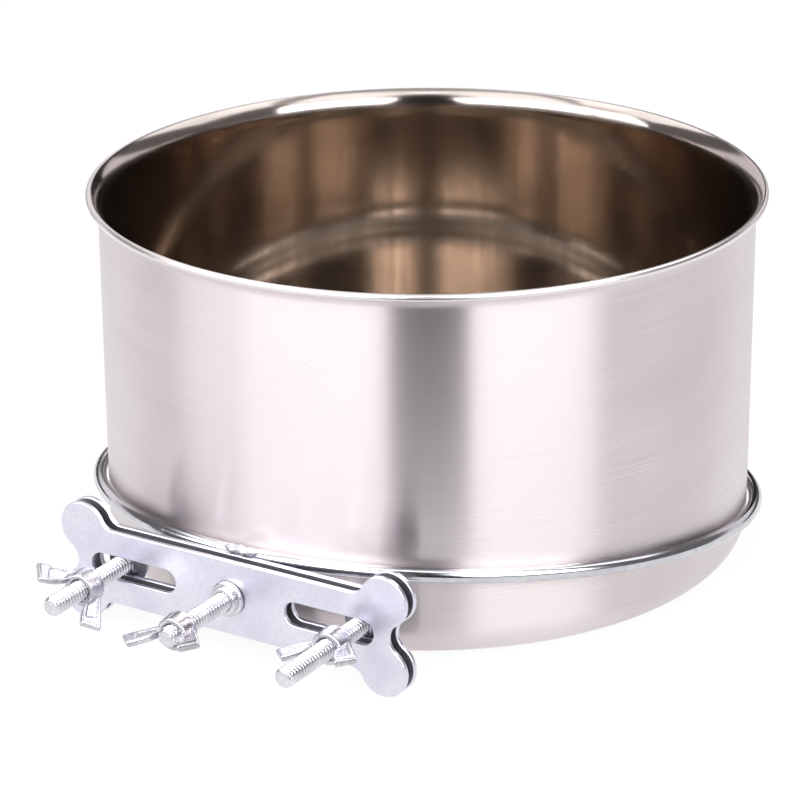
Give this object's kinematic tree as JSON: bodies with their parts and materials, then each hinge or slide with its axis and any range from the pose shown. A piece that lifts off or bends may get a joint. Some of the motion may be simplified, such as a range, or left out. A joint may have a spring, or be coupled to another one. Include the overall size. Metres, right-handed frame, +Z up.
{
  "type": "hanging dog bowl",
  "caption": "Straight-walled steel bowl that lifts out of a wire hoop welded to a bone-shaped plate clamp, which hangs on cage bars and is tightened with wing nuts.",
  "frame": {"origin": "middle of the bowl's flat underside, on the surface it stands on", "axes": "+Z up along the bowl's axis, -Y from the bowl towards the clamp and along its bolts, X along the clamp plates"},
  "size_m": [0.1682, 0.2038, 0.0912],
  "materials": {
    "bowl_steel": "brushed stainless outside, bright drawn inside",
    "plated_wire": "bright plated wire",
    "plate_sheet": "satin plated sheet",
    "zinc_fastener": "clear zinc plating"
  },
  "bodies": {
    "holder": {"wire_hoop": "plated_wire", "hoop_weld": "plated_wire", "rear_plate": "plate_sheet", "centre_bolt": "zinc_fastener"},
    "bowl": {"bowl": "bowl_steel"},
    "clamp_plate": {"front_plate": "plate_sheet", "centre_collar": "zinc_fastener"},
    "left_bolt": {"left_bolt": "zinc_fastener"},
    "right_bolt": {"right_bolt": "zinc_fastener"},
    "left_wing_nut": {"left_wing_nut": "zinc_fastener"},
    "centre_wing_nut": {"centre_wing_nut": "zinc_fastener"},
    "right_wing_nut": {"right_wing_nut": "zinc_fastener"}
  },
  "joints": [
    {"name": "bowl_lift", "type": "slide", "parent": "holder", "child": "bowl", "axis": [0, 0, 1], "range_m": [-0.0635, 0.035]},
    {"name": "clamp_close", "type": "slide", "parent": "holder", "child": "clamp_plate", "axis": [0, 1, 0], "range_m": [-0.0066, 0.0021]},
    {"name": "left_bolt_slide", "type": "slide", "parent": "holder", "child": "left_bolt", "axis": [1, 0, 0], "range_m": [-0.0029, 0.0129]},
    {"name": "right_bolt_slide", "type": "slide", "parent": "holder", "child": "right_bolt", "axis": [1, 0, 0], "range_m": [-0.0147, 0.0011]},
    {"name": "left_nut_spin", "type": "hinge", "parent": "left_bolt", "child": "left_wing_nut", "pos_m": [-0.03229, -0.0994, 0.01475], "axis": [0, -1, 0], "continuous": true},
    {"name": "centre_nut_spin", "type": "hinge", "parent": "holder", "child": "centre_wing_nut", "pos_m": [0, -0.1079, 0.01475], "axis": [0, -1, 0], "continuous": true},
    {"name": "right_nut_spin", "type": "hinge", "parent": "right_bolt", "child": "right_wing_nut", "pos_m": [0.03409, -0.0963, 0.01475], "axis": [0, -1, 0], "continuous": true}
  ]
}
